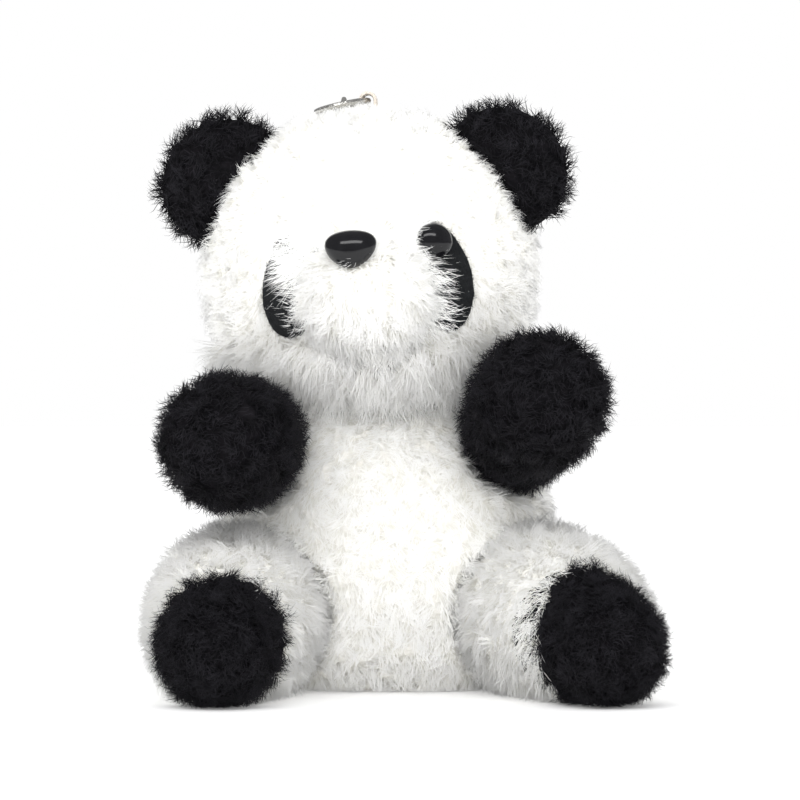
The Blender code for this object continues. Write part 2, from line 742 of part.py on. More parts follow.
# Swivel: an eye round the key ring, with a headed stem below it
at = onward
down = Vector((0.0, 0.03, -1.0)).normalized()
swivel_joint = empty("swivel_joint", at, head)
swivel_facing = aim(-down, SIDEWAYS)
eye_line = arc((0, EYE_RING_TOP - EYE_RING_RADIUS), EYE_RING_RADIUS, 0, 342, 20)
swivel = wire("swivel_eye", eye_line, EYE_RING_WIRE, nickel, True)
place(swivel, swivel_joint, rotation=swivel_facing @ Matrix.Rotation(math.radians(90), 3, "Z"))
stem_top = EYE_RING_TOP - 2 * EYE_RING_RADIUS
stem_outline = [
    (0.0, stem_top),
    (STEM_RADIUS, stem_top),
    (STEM_RADIUS, STEM_HEAD - STEM_END),
    (STEM_HEAD_RADIUS, STEM_HEAD - STEM_END),
    (STEM_HEAD_RADIUS, -STEM_END),
    (0.0, -STEM_END),
]
stem = place(turned("swivel_stem", stem_outline, None, 16), swivel_joint, rotation=swivel_facing)
boolean(swivel, "UNION", stem)

# Snap hook: a collar round the stem, two lugs and a bent hook
bore = STEM_RADIUS + GAP
cavity = STEM_HEAD_RADIUS + GAP
cavity_top = STEM_HEAD - STEM_END + 1.5 * GAP
cavity_end = -STEM_END - 1.5 * GAP
collar_outline = [
    (0.0, cavity_end),
    (cavity, cavity_end),
    (cavity, cavity_top),
    (bore, cavity_top),
    (bore, -COLLAR_TOP),
    (COLLAR_RADIUS - GAP, -COLLAR_TOP),
    (COLLAR_RADIUS, -COLLAR_TOP - GAP),
    (COLLAR_RADIUS, -COLLAR_END + 2 * GAP),
    (COLLAR_RADIUS - 2 * GAP, -COLLAR_END),
    (0.0, -COLLAR_END),
]
hook = turned("snap_hook", collar_outline, nickel)
place(hook, swivel_joint, rotation=swivel_facing)
bend = [Vector((0.0, 0.0, GAP - COLLAR_END))]
for k in range(HOOK_STEPS + 1):
    a = math.radians(HOOK_START + (HOOK_FINISH - HOOK_START) * k / HOOK_STEPS)
    height = HOOK_HALF_HEIGHT * math.sin(a) - HOOK_MIDDLE
    bend.append(Vector((HOOK_HALF_WIDTH * math.cos(a), 0.0, height)))
hook_bend = wire("hook_bend", bend, HOOK_WIRE)
place(hook_bend, swivel_joint, rotation=swivel_facing)
boolean(hook, "UNION", hook_bend)


def in_hook(thing, middle, turn=0.0):
    """Place a piece of the snap hook by its middle, turned about the hook's own X axis."""
    rotation = swivel_facing @ Matrix.Rotation(turn, 3, "X")
    return place(thing, swivel_joint, swivel_facing @ middle, rotation)


for sign in (-1, 1):
    middle = LEVER_PIVOT + LUG_FROM_PIVOT + Vector((0, sign * LUG_SPREAD, 0))
    boolean(hook, "UNION", in_hook(box(f"lug_{sign}", LUG), middle))
pin_bore = cylinder("pin_bore", PIN_RADIUS + 0.5 * GAP, 6 * MM, None, 14)
in_hook(pin_bore, LEVER_PIVOT, math.radians(90))
boolean(hook, "DIFFERENCE", pin_bore)
pin = cylinder("lever_pin", PIN_RADIUS, 2 * (LUG_SPREAD + PIN_PROUD) + LUG.y, nickel, 14)
in_hook(pin, LEVER_PIVOT, math.radians(90))

# Lever: a stamped strip that closes the hook from inside its tip
lever_joint = empty("lever_joint", swivel_facing @ LEVER_PIVOT, swivel_joint, swivel_facing)


def lever_plate(bm):
    """The lever's outline in the XZ plane from its eye at the origin, extruded along Y."""
    eye = arc((0, 0), LEVER_EYE, 0, 180, 9)
    outline = eye + [Vector((x, 0.0, z)) * MM for x, z in LEVER_STRIP]
    shift = Vector((0, LEVER_SIDE - LEVER_THICKNESS / 2, 0))
    face = bm.faces.new([bm.verts.new(p + shift) for p in outline])
    grown = bmesh.ops.extrude_face_region(bm, geom=[face])
    moved = [v for v in grown["geom"] if isinstance(v, bmesh.types.BMVert)]
    bmesh.ops.translate(bm, vec=(0, LEVER_THICKNESS, 0), verts=moved)
    bmesh.ops.recalc_face_normals(bm, faces=bm.faces)


lever = place(mesh_object("hook_lever", lever_plate, nickel), lever_joint)
boolean(lever, "DIFFERENCE", pin_bore)

# Lever spring: two turns of fine wire round the pin, beside the lever's eye
spring_line = []
for k in range(SPRING_STEPS + 1):
    share = k / SPRING_STEPS
    a = 2 * math.pi * SPRING_TURNS * share
    round_pin = Vector((math.cos(a), 0.0, math.sin(a))) * SPRING_RADIUS
    spring_line.append(round_pin + Vector((0.0, SPRING_START + SPRING_LENGTH * share, 0.0)))
place(wire("lever_spring", spring_line, SPRING_WIRE, nickel, False, 1), lever_joint)
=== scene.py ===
"""Looks for a seated plush panda keychain: padded forms, pile made of real fibres, trim and metal."""

import math

import bmesh
import bpy
import numpy as np
from mathutils import Euler, Matrix, Vector
from mathutils.bvhtree import BVHTree


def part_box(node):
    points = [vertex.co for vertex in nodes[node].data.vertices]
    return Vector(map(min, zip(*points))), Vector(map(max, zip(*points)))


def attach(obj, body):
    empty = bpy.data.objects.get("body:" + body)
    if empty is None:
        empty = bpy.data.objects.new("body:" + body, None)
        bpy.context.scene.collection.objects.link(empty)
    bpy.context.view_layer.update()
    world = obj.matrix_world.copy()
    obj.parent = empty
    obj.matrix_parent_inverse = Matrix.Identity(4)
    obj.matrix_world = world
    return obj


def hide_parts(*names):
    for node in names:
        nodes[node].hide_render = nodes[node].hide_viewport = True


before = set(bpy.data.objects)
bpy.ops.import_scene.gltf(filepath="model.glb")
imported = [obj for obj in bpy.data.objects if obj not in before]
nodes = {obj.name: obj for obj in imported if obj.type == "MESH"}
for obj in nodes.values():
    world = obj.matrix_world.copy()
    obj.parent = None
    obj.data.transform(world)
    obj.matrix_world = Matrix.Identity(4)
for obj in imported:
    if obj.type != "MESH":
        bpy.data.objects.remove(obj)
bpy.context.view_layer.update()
MM = 0.001

# The head's own frame, as the CAD places it
HEAD_CENTRE = np.array([-3.1, 0.0, 79.7]) * MM
HEAD_TURN = Euler((0.0, math.radians(-2.3), math.radians(-3.0))).to_matrix()


def in_head(x, y, z):
    """A point given in millimetres from the centre of the head."""
    return HEAD_CENTRE + np.array(HEAD_TURN @ Vector((x, y, z))) * MM


def from_head(at):
    """Points as millimetres in the head's own frame."""
    return (at - HEAD_CENTRE) @ np.array(HEAD_TURN) / MM


# ---------------------------------------------------------------- node materials


class Nodes:
    """A short way to write a material's nodes."""

    def __init__(self, name):
        self.material = bpy.data.materials.new(name)
        self.material.use_nodes = True
        self.tree = self.material.node_tree
        self.shader = self.tree.nodes["Principled BSDF"]

    def add(self, kind, **settings):
        node = self.tree.nodes.new("ShaderNode" + kind)
        for key, value in settings.items():
            if key in node.inputs:
                node.inputs[key].default_value = value
            else:
                setattr(node, key, value)
        return node

    def link(self, source, target):
        self.tree.links.new(source, target)

    def set(self, **values):
        for key, value in values.items():
            self.shader.inputs[key.replace("_", " ")].default_value = value

    def ramp(self, source, *stops):
        """A colour ramp through (position, colour) stops."""
        node = self.add("ValToRGB")
        elements = node.color_ramp.elements
        while len(elements) < len(stops):
            elements.new(0.5)
        for element, (position, colour) in zip(elements, stops):
            element.position = position
            element.color = (*colour, 1.0)
        self.link(source, node.inputs[0])
        return node.outputs[0]

    def noise(self, scale, detail=3.0, **settings):
        """A noise over the object's own coordinates, its scale in features per metre."""
        place = self.add("TexCoord")
        node = self.add("TexNoise", Scale=scale, Detail=detail, **settings)
        self.link(place.outputs["Object"], node.inputs["Vector"])
        return node.outputs[0]

    def bump(self, source, distance, strength=1.0):
        node = self.add("Bump", Distance=distance, Strength=strength)
        self.link(source, node.inputs["Height"])
        self.link(node.outputs[0], self.shader.inputs["Normal"])

    def colour(self, source):
        self.link(source, self.shader.inputs["Base Color"])

    def rough(self, source, low, high):
        node = self.add("MapRange")
        node.inputs["To Min"].default_value = low
        node.inputs["To Max"].default_value = high
        self.link(source, node.inputs["Value"])
        self.link(node.outputs[0], self.shader.inputs["Roughness"])


def pile_material(name, root, middle, tip, gloss_level, roughness, glow=0.0):
    """Pile fibres: a root darkened with painted shade, lightening to the tip, with some locks paler
    than others.

    The glow stands in for the light that passes through thin pale fibres.
    """
    n = Nodes(name)
    n.set(Roughness=roughness, Specular_IOR_Level=gloss_level)
    n.set(Emission_Color=(*tip, 1.0), Emission_Strength=glow)
    along = n.add("Attribute", attribute_name="along")
    lock = n.add("Attribute", attribute_name="lock")
    shade = n.add("MapRange")
    shade.inputs["To Min"].default_value = -0.16
    shade.inputs["To Max"].default_value = 0.16
    n.link(lock.outputs["Fac"], shade.inputs["Value"])
    total = n.add("Math", operation="ADD")
    n.link(along.outputs["Fac"], total.inputs[0])
    n.link(shade.outputs[0], total.inputs[1])
    n.colour(n.ramp(total.outputs[0], (0.0, root), (0.42, middle), (1.0, tip)))
    return n.material


def backing_material(name, low, high):
    """Knitted backing: rows of small loops with soft mottling."""
    n = Nodes(name)
    n.set(Roughness=0.95, Specular_IOR_Level=0.1)
    mottle = n.noise(420.0)
    n.colour(n.ramp(mottle, (0.3, low), (0.7, high)))
    place = n.add("TexCoord")
    knit = n.add("TexVoronoi", Scale=900.0)
    n.link(place.outputs["Object"], knit.inputs["Vector"])
    n.bump(knit.outputs["Distance"], 0.0004)
    return n.material


# Pile colours from root to tip: the darker root colours are painted shade between the fibres.
WHITE_ROOT_SHADE = (0.80, 0.79, 0.71)
WHITE_MIDDLE = (0.93, 0.925, 0.89)
WHITE_TIP = (0.96, 0.96, 0.955)
# The black pile's much paler tip colour is a painted highlight on its curls.
BLACK_ROOT_SHADE = (0.002, 0.002, 0.003)
BLACK_MIDDLE = (0.005, 0.0047, 0.0062)
BLACK_TIP_HIGHLIGHT = (0.022, 0.021, 0.026)
white_pile = pile_material("white_fibre", WHITE_ROOT_SHADE, WHITE_MIDDLE, WHITE_TIP, 0.2, 0.9, 0.03)
black_pile = pile_material("black_fibre", BLACK_ROOT_SHADE, BLACK_MIDDLE, BLACK_TIP_HIGHLIGHT, 0.12, 0.55)
white_backing = backing_material("white_knit", (0.82, 0.80, 0.74), (0.91, 0.90, 0.87))
black_backing = backing_material("black_knit", (0.003, 0.003, 0.004), (0.010, 0.009, 0.011))


def gloss_material():
    """Moulded black plastic, with faint waviness and dust-fine scuffs in its gloss."""
    n = Nodes("moulded_black")
    n.set(Specular_IOR_Level=0.35)
    cloud = n.noise(260.0, 4.0)
    n.colour(n.ramp(cloud, (0.3, (0.004, 0.004, 0.005)), (0.7, (0.010, 0.010, 0.012))))
    n.rough(n.noise(900.0, 5.0), 0.05, 0.16)
    n.bump(n.noise(300.0, 2.0), 0.00004)
    return n.material


def metal_material():
    """Nickel plate with fine draw lines and slightly duller patches."""
    n = Nodes("plated_nickel")
    n.set(Metallic=1.0)
    patches = n.noise(300.0, 4.0)
    n.colour(n.ramp(patches, (0.3, (0.56, 0.55, 0.52)), (0.7, (0.76, 0.75, 0.73))))
    n.rough(n.noise(1500.0, 5.0), 0.14, 0.38)
    n.bump(n.noise(4000.0, 2.0), 0.00002)
    return n.material


def washer_material():
    """Translucent moulded nylon with flow marks."""
    n = Nodes("moulded_nylon")
    marks = n.noise(700.0, 3.0)
    n.colour(n.ramp(marks, (0.3, (0.66, 0.67, 0.69)), (0.7, (0.80, 0.81, 0.83))))
    n.rough(marks, 0.35, 0.6)
    return n.material


def felt_material():
    """Pressed black felt, mottled by its matted fibres."""
    n = Nodes("pressed_felt")
    n.set(Sheen_Weight=0.08, Sheen_Roughness=0.4, Specular_IOR_Level=0.25)
    matted = n.noise(1800.0, 6.0, Distortion=1.5)
    n.colour(n.ramp(matted, (0.3, (0.003, 0.004, 0.005)), (0.75, (0.016, 0.018, 0.020))))
    n.rough(matted, 0.55, 0.85)
    n.bump(matted, 0.00025)
    return n.material


def ribbon_material():
    """Cream grosgrain: ribs across, with fine warp threads and a satin sheen."""
    n = Nodes("grosgrain")
    n.set(Sheen_Weight=0.3, Roughness=0.55)
    thread = n.noise(2500.0, 4.0)
    n.colour(n.ramp(thread, (0.3, (0.62, 0.54, 0.45)), (0.7, (0.88, 0.82, 0.74))))
    n.bump(thread, 0.00008)
    return n.material


gloss = gloss_material()
metal = metal_material()
nylon = washer_material()
felt = felt_material()
grosgrain = ribbon_material()


def give(thing, *materials):
    """Put materials in an object's slots, in place of those it has."""
    thing.data.materials.clear()
    for item in materials:
        thing.data.materials.append(item)


METAL_NODES = ["jump_ring", "chain_link_1", "chain_link_2", "chain_link_3", "key_ring"]
METAL_NODES += ["swivel_eye", "snap_hook", "lever_pin", "lever_spring", "hook_lever"]
for name in METAL_NODES:
    give(nodes[name], metal)
for name in ("nose_washer", "eye_washer_left", "eye_washer_right"):
    give(nodes[name], nylon)


# ---------------------------------------------------------------- padded forms


def new_object(name, mesh, *materials):
    made = bpy.data.objects.new(name, mesh)
    bpy.context.scene.collection.objects.link(made)
    for item in materials:
        mesh.materials.append(item)
    return made


def joined(names):
    """The named CAD nodes as one bmesh."""
    bm = bmesh.new()
    for name in names:
        bm.from_mesh(nodes[name].data)
    return bm


def largest_island(mesh):
    """Keep only the biggest connected part of a mesh."""
    bm = bmesh.new()
    bm.from_mesh(mesh)
    bm.verts.ensure_lookup_table()
    seen = set()
    best = set()
    for start in bm.verts:
        if start.index in seen:
            continue
        island = {start.index}
        queue = [start]
        while queue:
            vert = queue.pop()
            for edge in vert.link_edges:
                other = edge.other_vert(vert)
                if other.index not in island:
                    island.add(other.index)
                    queue.append(other)
        seen |= island
        if len(island) > len(best):
            best = island
    spare = [v for v in bm.verts if v.index not in best]
    bmesh.ops.delete(bm, geom=spare, context="VERTS")
    bm.to_mesh(mesh)
    bm.free()


def apply_modifiers(thing):
    """Replace an object's mesh with its evaluated one, and clear its modifiers."""
    seen = thing.evaluated_get(bpy.context.evaluated_depsgraph_get())
    mesh = bpy.data.meshes.new_from_object(seen)
    old = thing.data
    thing.modifiers.clear()
    thing.data = mesh
    bpy.data.meshes.remove(old)


def vertices_of(mesh):
    co = np.empty(len(mesh.vertices) * 3, np.float32)
    mesh.vertices.foreach_get("co", co)
    return co.reshape(-1, 3).astype(float)


CLOTH_FRAMES = 20


def blow_up(made):
    """Press a sewn skin outward from inside as cloth, with no weight of its own."""
    cloth = made.modifiers.new("cloth", "CLOTH")
    cloth.settings.quality = 5
    cloth.settings.mass = 0.1
    cloth.settings.tension_stiffness = 12
    cloth.settings.compression_stiffness = 12
    cloth.settings.shear_stiffness = 6
    cloth.settings.bending_stiffness = 0.3
    cloth.settings.use_pressure = True
    cloth.settings.uniform_pressure_force = 4
    cloth.settings.effector_weights.gravity = 0
    cloth.collision_settings.use_collision = False
    cloth.point_cache.frame_start = 1
    cloth.point_cache.frame_end = CLOTH_FRAMES
    for number in range(1, CLOTH_FRAMES + 1):
        bpy.context.scene.frame_set(number)
    apply_modifiers(made)
    bpy.context.scene.frame_set(1)


def hold_close(made, rest, cap):
    """Let no vertex stay further than a cap from where it was at rest."""
    moved = vertices_of(made.data) - rest
    reach = np.linalg.norm(moved, axis=1, keepdims=True)
    moved *= np.minimum(1.0, cap / np.maximum(reach, 1e-9))
    made.data.vertices.foreach_set("co", (rest + moved).astype(np.float32).ravel())


def stuffed(name, sources, backing, voxel=1.3 * MM, cap=0.6 * MM, smooth=3):
    """A sewn, stuffed form: the CAD's solids as one skin, blown up a little by cloth pressure."""
    bm = joined(sources)
    mesh = bpy.data.meshes.new(name)
    bm.to_mesh(mesh)
    bm.free()
    made = new_object(name, mesh)
    remesh = made.modifiers.new("remesh", "REMESH")
    remesh.mode = "VOXEL"
    remesh.voxel_size = voxel
    relax = made.modifiers.new("relax", "SMOOTH")
    relax.iterations = smooth
    relax.factor = 0.5
    apply_modifiers(made)
    largest_island(made.data)
    rest = vertices_of(made.data)
    blow_up(made)
    hold_close(made, rest, cap)
    finer = made.modifiers.new("finer", "SUBSURF")
    finer.levels = 1
    finer.render_levels = 1
    apply_modifiers(made)
    give(made, *backing)
    made.data.shade_smooth()
    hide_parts(*sources)
    return made


forms = {}
forms["head"] = stuffed("head_form", ["head_skin", "head_stuffing"], [white_backing])
forms["muzzle"] = stuffed("muzzle_form", ["muzzle_skin", "muzzle_stuffing"], [white_backing], 1.0 * MM)
forms["body"] = stuffed("body_form", ["body_skin", "body_stuffing"], [white_backing])
for side in ("left", "right"):
    forms[f"arm_{side}"] = stuffed(
        f"arm_form_{side}", [f"arm_skin_{side}", f"arm_stuffing_{side}"], [black_backing], 1.2 * MM
    )
    leg_sources = [f"leg_skin_{side}", f"foot_skin_{side}", f"leg_stuffing_{side}"]
    forms[f"leg_{side}"] = stuffed(f"leg_form_{side}", leg_sources, [white_backing, black_backing])
    forms[f"ear_{side}"] = stuffed(f"ear_form_{side}", [f"ear_{side}"], [black_backing], 0.9 * MM)

ANKLE = {side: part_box(f"foot_skin_{side}")[1].y for side in ("left", "right")}
for side in ("left", "right"):
    for face in forms[f"leg_{side}"].data.polygons:
        face.material_index = int(face.center.y < ANKLE[side] - 1.0 * MM)


# ---------------------------------------------------------------- pile


def unit(vectors):
    """Vectors along the last axis, each made one long."""
    length = np.linalg.norm(vectors, axis=-1, keepdims=True)
    return vectors / np.maximum(length, 1e-12)


def tangent(vectors, normals):
    """The part of each vector that lies along the surface, made one long."""
    return unit(vectors - normals * (vectors * normals).sum(-1, keepdims=True))


class Surface:
    """A form's triangles, ready for scattering points and for telling inside from outside."""

    def __init__(self, thing):
        mesh = thing.data
        mesh.calc_loop_triangles()
        self.points = vertices_of(mesh)
        normals = np.empty(len(mesh.vertices) * 3, np.float32)
        mesh.vertices.foreach_get("normal", normals)
        self.normals = normals.reshape(-1, 3).astype(float)
        tris = np.empty(len(mesh.loop_triangles) * 3, np.int32)
        mesh.loop_triangles.foreach_get("vertices", tris)
        self.tris = tris.reshape(-1, 3)
        self.tree = BVHTree.FromPolygons(self.points.tolist(), self.tris.tolist())

    def scatter(self, spacing, rng):
        """Points and normals spread evenly over the surface, about a spacing apart."""
        a, b, c = (self.points[self.tris[:, k]] for k in range(3))
        area = np.linalg.norm(np.cross(b - a, c - a), axis=1) / 2
        count = int(4.0 * area.sum() / spacing**2)
        pick = rng.choice(len(area), count, p=area / area.sum())
        u = np.sqrt(rng.random((count, 1)))
        v = rng.random((count, 1))
        shares = np.hstack((1 - u, u * (1 - v), u * v))
        corners = self.tris[pick]
        at = (self.points[corners] * shares[:, :, None]).sum(1)
        out = unit((self.normals[corners] * shares[:, :, None]).sum(1))
        kept = thin_out(at, spacing * 0.82)
        return at[kept], out[kept]

    def near(self, at, reach):
        """True for each point within reach outside the surface, or inside it.

        A negative reach asks for points at least that deep inside.
        """
        found = np.zeros(len(at), bool)
        for k, point in enumerate(at):
            hit, normal, _, distance = self.tree.find_nearest(Vector(point))
            inside = (Vector(point) - hit).dot(normal) < 0
            found[k] = (inside and distance > -reach) or (not inside and distance < reach)
        return found


def thin_out(at, spacing):
    """Indices of points that are at least a spacing from every earlier kept point."""
    cells = np.floor(at / spacing).astype(int)
    grid = {}
    kept = []
    steps = [(i, j, k) for i in (-1, 0, 1) for j in (-1, 0, 1) for k in (-1, 0, 1)]
    limit = spacing * spacing
    listed = at.tolist()
    for index, (point, cell) in enumerate(zip(listed, cells.tolist())):
        clear = True
        for i, j, k in steps:
            for x, y, z in grid.get((cell[0] + i, cell[1] + j, cell[2] + k), ()):
                if (x - point[0]) ** 2 + (y - point[1]) ** 2 + (z - point[2]) ** 2 < limit:
                    clear = False
                    break
            if not clear:
                break
        if clear:
            grid.setdefault(tuple(cell), []).append(point)
            kept.append(index)
    return np.array(kept, int)


SIDES = 3


def fibre_lines(at, out, flow, scale, style, rng):
    """Every fibre's middle line, with its normal, its sideways direction and its lock's shade.

    Each lock's fibres start apart and lean together towards one tip.
    """
    per_lock = style["fibres"]
    count = len(at) * per_lock
    lock_length = scale * style["length"] * rng.uniform(0.75, 1.2, len(at))
    lock_turn = rng.uniform(0, 2 * math.pi, len(at))
    lock_shade = rng.random(len(at))
    sway = tangent(flow + style["tousle"] * rng.normal(size=at.shape), out)

    def spread(values):
        return np.repeat(values, per_lock, axis=0)

    normal = spread(out)
    ahead = tangent(spread(sway) + style["stray"] * rng.normal(size=(count, 3)), normal)
    across = np.cross(normal, ahead)
    length = spread(lock_length) * rng.uniform(0.7, 1.1, count)
    turn = spread(lock_turn) + rng.uniform(-0.7, 0.7, count)
    angle = rng.uniform(0, 2 * math.pi, count)
    radius = style["spread"] * np.sqrt(rng.random(count))
    offset = ahead * (radius * np.cos(angle))[:, None] + across * (radius * np.sin(angle))[:, None]
    root = spread(at) - normal * style["sunk"]
    lean = np.radians(style["lean"] + rng.normal(0, style["lean_spread"], count))[:, None]
    rise = normal * np.cos(lean) + ahead * np.sin(lean)
    droop = ahead * 0.5 - normal * style["droop"]
    lines = []
    for t in style["rings"] + [1.0]:
        line = root + length[:, None] * (t * rise + 0.5 * t * t * droop)
        gather = 1.0 - style["gather"] * t**0.8
        curl = style["curl"] * t
        phase = turn + 2 * math.pi * style["turns"] * t
        line = line + offset * gather
        line = line + curl * (across * np.cos(phase)[:, None] + ahead * np.sin(phase)[:, None])
        lines.append(line)
    return np.array(lines), normal, across, spread(lock_shade)


def fibres(at, out, flow, scale, style, rng):
    """Tapered, curling fibres that grow in locks from points on a surface."""
    lines, normal, across, shade = fibre_lines(at, out, flow, scale, style, rng)
    count = len(normal)
    along = unit(np.gradient(lines, axis=0))
    first = unit(np.cross(along, normal + 0.3 * across))
    second = np.cross(along, first)
    wide = style["radius"] * rng.uniform(0.75, 1.25, count)[:, None]
    corners = []
    shading = []
    for k, t in enumerate(style["rings"]):
        size = wide * (1.0 - 0.75 * t**1.6)
        for side in range(SIDES):
            a = 2 * math.pi * side / SIDES
            outward = first[k] * math.cos(a) + second[k] * math.sin(a)
            corners.append(lines[k] + outward * size)
            shading.append(unit(outward * style["crisp"] + normal))
    corners.append(lines[-1])
    shading.append(unit(along[-1] * style["crisp"] + normal))
    steps = np.array([t for t in style["rings"] for _ in range(SIDES)] + [1.0])
    return {
        "points": np.stack(corners, 1),
        "normals": np.stack(shading, 1),
        "along": np.broadcast_to(steps, (count, len(steps))),
        "lock": np.repeat(shade[:, None], len(steps), 1),
    }


def fibre_faces(ring_count):
    """One fibre's faces: its base, its sides and its pointed end."""
    faces = [[2, 1, 0]]
    for k in range(ring_count - 1):
        for side in range(SIDES):
            a = k * SIDES + side
            b = k * SIDES + (side + 1) % SIDES
            faces.append([a, b, b + SIDES])
            faces.append([a, b + SIDES, a + SIDES])
    tip = ring_count * SIDES
    last = tip - SIDES
    for side in range(SIDES):
        faces.append([last + side, last + (side + 1) % SIDES, tip])
    return np.array(faces)


FLOOR_GAP = 0.12 * MM


def pile_object(name, made, chosen, ring_count, material):
    """A mesh of the chosen fibres, with their shading and their colour coordinates."""
    points = made["points"][chosen]
    count, per = points.shape[:2]
    points = points.reshape(-1, 3).copy()
    points[:, 2] = np.maximum(points[:, 2], FLOOR_GAP)
    faces = fibre_faces(ring_count)
    index = (faces[None] + per * np.arange(count)[:, None, None]).reshape(-1, 3)
    mesh = bpy.data.meshes.new(name)
    mesh.vertices.add(len(points))
    mesh.vertices.foreach_set("co", points.astype(np.float32).ravel())
    mesh.loops.add(index.size)
    mesh.loops.foreach_set("vertex_index", index.astype(np.int32).ravel())
    mesh.polygons.add(len(index))
    mesh.polygons.foreach_set("loop_start", np.arange(0, index.size, 3, dtype=np.int32))
    mesh.update()
    mesh.polygons.foreach_set("use_smooth", np.ones(len(index), bool))
    normals = made["normals"][chosen].reshape(-1, 3)
    attribute = mesh.attributes.new("custom_normal", "FLOAT_VECTOR", "POINT")
    attribute.data.foreach_set("vector", normals.astype(np.float32).ravel())
    along = made["along"][chosen].ravel().astype(np.float32)
    lock = made["lock"][chosen].ravel().astype(np.float32)
    for key, values in (("along", along), ("lock", lock)):
        mesh.attributes.new(key, "FLOAT", "POINT").data.foreach_set("value", values)
    layer = mesh.uv_layers.new(name="OFBake")
    flat = index.ravel()
    side = (flat % per) % SIDES
    u = 0.02 + 0.95 * lock[flat] + 0.004 * side
    v = 0.02 + 0.96 * along[flat]
    layer.data.foreach_set("uv", np.column_stack((u, v)).astype(np.float32).ravel())
    return new_object(name, mesh, material)


FIBRES_PER_PIECE = 10500


def coat(name, body, slot, at, out, flow, style, material, seed, scale=None):
    """Grow a coat on the points given, in pieces small enough to keep whole, front to back.

    Light passes through the white pile, so it casts no shadow.
    """
    rng = np.random.default_rng(seed)
    order = np.argsort(at[:, 1])
    scale = np.ones(len(at)) if scale is None else scale
    flow = tangent(flow, out)
    made = fibres(at[order], out[order], flow[order], scale[order], style, rng)
    total = len(made["points"])
    parts = max(1, math.ceil(total / FIBRES_PER_PIECE))
    for number, chosen in enumerate(np.array_split(np.arange(total), parts)):
        piece = pile_object(f"{name}_{number + 1}", made, chosen, len(style["rings"]), material)
        piece.visible_shadow = material is not white_pile
        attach(piece, body)


WHITE = {
    "fibres": 20,
    "length": 3.3 * MM,
    "lean": 44.0,
    "lean_spread": 14.0,
    "droop": 0.25,
    "tousle": 0.7,
    "spread": 1.15 * MM,
    "gather": 0.38,
    "curl": 0.28 * MM,
    "turns": 0.8,
    "radius": 0.075 * MM,
    "sunk": 0.3 * MM,
    "rings": [0.0, 0.4, 0.75],
    "crisp": 0.15,
    "stray": 0.3,
}
BLACK = {
    "fibres": 26,
    "length": 3.3 * MM,
    "lean": 42.0,
    "lean_spread": 18.0,
    "droop": 0.1,
    "tousle": 2.5,
    "spread": 1.35 * MM,
    "gather": 0.78,
    "curl": 0.42 * MM,
    "turns": 1.2,
    "radius": 0.08 * MM,
    "sunk": 0.3 * MM,
    "rings": [0.0, 0.27, 0.52, 0.77],
    "crisp": 0.9,
    "stray": 0.7,
}

surfaces = {key: Surface(thing) for key, thing in forms.items()}
NOSE_PLACE = (-1.0, -34.0, -0.8)
nose_at = in_head(*NOSE_PLACE)
DOWN = np.array([0.0, 0.0, -1.0])


def node_surface(name):
    return Surface(nodes[name])


def grown(key, spacing, seed, blocked):
    """Lock roots on a form, clear of the solids that would cover them and off the floor."""
    rng = np.random.default_rng(seed)
    at, out = surfaces[key].scatter(spacing, rng)
    keep = (at[:, 2] > 0.5 * MM) | (out[:, 2] > -0.6)
    for other, reach in blocked:
        test = at[keep]
        inside = other.near(test, reach)
        index = np.flatnonzero(keep)
        keep[index[inside]] = False
    return at[keep], out[keep]


WHITE_SPACING = 1.5 * MM
BLACK_SPACING = 2.0 * MM
MUZZLE_SPACING = 1.2 * MM
CHIN_SPACING = 1.4 * MM
FUZZ_SPACING = 0.45 * MM
LIMBS = [f"{kind}_{side}" for kind in ("arm", "leg") for side in ("left", "right")]
eyes = [node_surface(f"eye_{side}") for side in ("left", "right")]
nose_surface = node_surface("nose")
# Each patch's bare part, left then right, in millimetres: its middle and its half width and height
PATCH_MIDDLE = ((12.3, -8.6), (14.4, -5.6))
PATCH_BARE = ((3.8, 7.4), (4.0, 8.6))
PATCH_LEAN = math.radians(8.0)


def on_patch(at):
    """True for each point on the bare middle of an eye patch."""
    local = from_head(at)
    side = (local[:, 0] > 0).astype(int)
    middle = np.array(PATCH_MIDDLE)[side]
    bare = np.array(PATCH_BARE)[side]
    aside = np.abs(local[:, 0]) - middle[:, 0]
    height = local[:, 2] - middle[:, 1]
    across = aside * math.cos(PATCH_LEAN) + height * math.sin(PATCH_LEAN)
    along = height * math.cos(PATCH_LEAN) - aside * math.sin(PATCH_LEAN)
    inside = (across / bare[:, 0]) ** 2 + (along / bare[:, 1]) ** 2 < 1.0
    return inside & (local[:, 1] < 0)


# Head: the pile runs outward from the nose and down, and is longest beside the eyes
blocked = [(item, 0.4 * MM) for item in eyes + [nose_surface]]
blocked += [(surfaces["muzzle"], 0.0), (surfaces["ear_left"], 0.9 * MM)]
blocked += [(surfaces["ear_right"], 0.9 * MM)]
at, out = grown("head", WHITE_SPACING, 1, blocked)
bare = on_patch(at)
at, out = at[~bare], out[~bare]
local = from_head(at)
aside = np.abs(local[:, 0])
bridge = (aside > 3.0) & (aside < 11.0) & (np.abs(local[:, 2]) < 5.5) & (local[:, 1] < 0)
flow = unit(at - nose_at) + 0.6 * DOWN
flow[bridge] = unit(at - nose_at)[bridge] + 0.15 * DOWN
scale = np.interp(local[:, 2], (-26.0, -16.0, -4.0, 8.0), (1.5, 1.15, 1.0, 0.8))
scale = np.where(bridge, 1.4, scale)
coat("head_pile", "head", "white_pile", at, out, flow, WHITE, white_pile, 11, scale)

